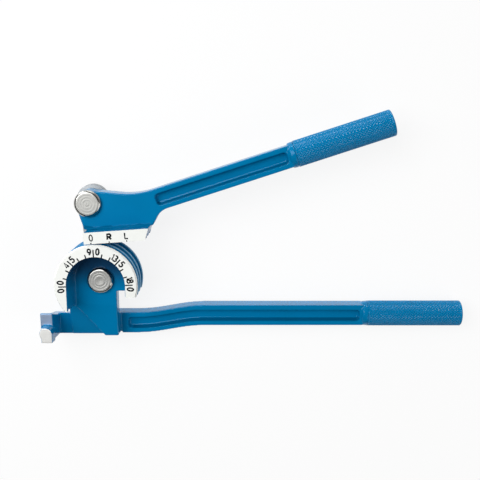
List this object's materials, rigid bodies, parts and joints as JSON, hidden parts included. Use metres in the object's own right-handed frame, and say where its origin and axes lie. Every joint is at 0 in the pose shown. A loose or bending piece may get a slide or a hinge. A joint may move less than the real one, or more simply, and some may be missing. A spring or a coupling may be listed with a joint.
{
  "type": "tube bender",
  "caption": "Hand lever tube bender with a grooved mandrel, a hook, a swinging link and a shoe on the moving handle, which bends small tube round the mandrel up to a half turn.",
  "frame": {"origin": "on the mandrel axis, at the level of the surface that the tool lies on", "axes": "+X along the fixed handle towards its grip, +Y from the fixed handle towards the mandrel, +Z along the mandrel axis towards the degree scale"},
  "size_m": [0.3416, 0.1827, 0.0542],
  "materials": {
    "paint": "gloss blue enamel over die-cast aluminium",
    "print": "white print on a thin plate",
    "steel": "bright turned steel",
    "plated": "bright zinc plated steel",
    "bronze": "sintered bronze"
  },
  "bodies": {
    "body": {"body_casting": "paint", "fixed_grip": "paint", "degree_scale": "print", "mandrel_bush": "bronze"},
    "link": {"link_plate": "plated", "mandrel_pin": "steel", "handle_pin": "steel", "mandrel_thrust_washer": "steel", "handle_thrust_washer": "steel", "mandrel_back_washer": "steel", "handle_back_washer": "steel", "mandrel_pin_ring": "steel", "handle_pin_ring": "steel"},
    "handle": {"handle_casting": "paint", "moving_grip": "paint", "index_strip": "print", "handle_bush": "bronze"}
  },
  "joints": [
    {"name": "link_swing", "type": "hinge", "parent": "body", "child": "link", "pos_m": [0, 0, 0.018], "axis": [0, 0, 1], "range_deg": [-94, 86]},
    {"name": "handle_lift", "type": "hinge", "parent": "link", "child": "handle", "pos_m": [-0.00634, 0.06196, 0.03], "axis": [0, 0, 1], "range_deg": [0, 90]}
  ]
}
